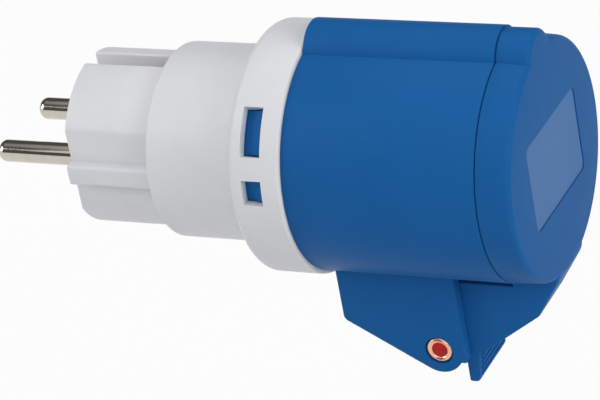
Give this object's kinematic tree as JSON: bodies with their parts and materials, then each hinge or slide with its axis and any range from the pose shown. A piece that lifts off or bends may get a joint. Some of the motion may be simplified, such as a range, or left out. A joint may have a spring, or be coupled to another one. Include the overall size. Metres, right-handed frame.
{
  "type": "cee to schuko adapter",
  "caption": "Plug-in mains adapter: white round-pin plug with side earth contacts joined to a blue pin-and-sleeve socket under a spring-closed hinged flap lid.",
  "frame": {"origin": "centre of the plug's front face, midway between the two pins", "axes": "+X from the plug to the lid, +Z towards the keyway ridge with the lid's hinge on the -Z side, +Y sideways along the hinge"},
  "size_m": [0.1236, 0.0528, 0.0797],
  "materials": {
    "white_plastic": "satin moulded thermoplastic",
    "blue_plastic": "satin moulded thermoplastic",
    "grey_plastic": "moulded thermoset insulator",
    "black_plastic": "moulded thermoset insulator",
    "nickel": "polished nickel plating on brass",
    "brass": "machined brass",
    "copper": "polished copper",
    "steel": "zinc plated steel",
    "spring_steel": "stainless spring wire",
    "rubber": "soft moulded rubber",
    "brown_insulation": "wire insulation",
    "blue_insulation": "wire insulation",
    "earth_insulation": "green and yellow wire insulation"
  },
  "bodies": {
    "adapter": {"plug_housing": "white_plastic", "pin_bridge": "grey_plastic", "line_pin": "nickel", "neutral_pin": "nickel", "earth_strap": "nickel", "earth_terminal": "brass", "terminal_screws": "steel", "wire_ferrules": "steel", "line_wire": "brown_insulation", "neutral_wire": "blue_insulation", "earth_wire": "earth_insulation", "housing_seal": "rubber", "socket_housing": "blue_plastic", "contact_carrier": "black_plastic", "line_contact": "brass", "neutral_contact": "brass", "earth_contact": "brass", "contact_clips": "spring_steel", "carrier_screws": "steel", "hinge_rivet": "copper", "lid_spring": "spring_steel"},
    "lid": {"lid": "blue_plastic", "lid_gasket": "rubber"}
  },
  "joints": [
    {"name": "lid_hinge", "type": "hinge", "parent": "adapter", "child": "lid", "pos_m": [0.0766, 0, -0.0415], "axis": [0, 1, 0], "range_deg": [0, 110], "stiffness_Nm_per_rad": 0.02, "springref_deg": -85.94, "deforming": ["lid_spring"]}
  ]
}
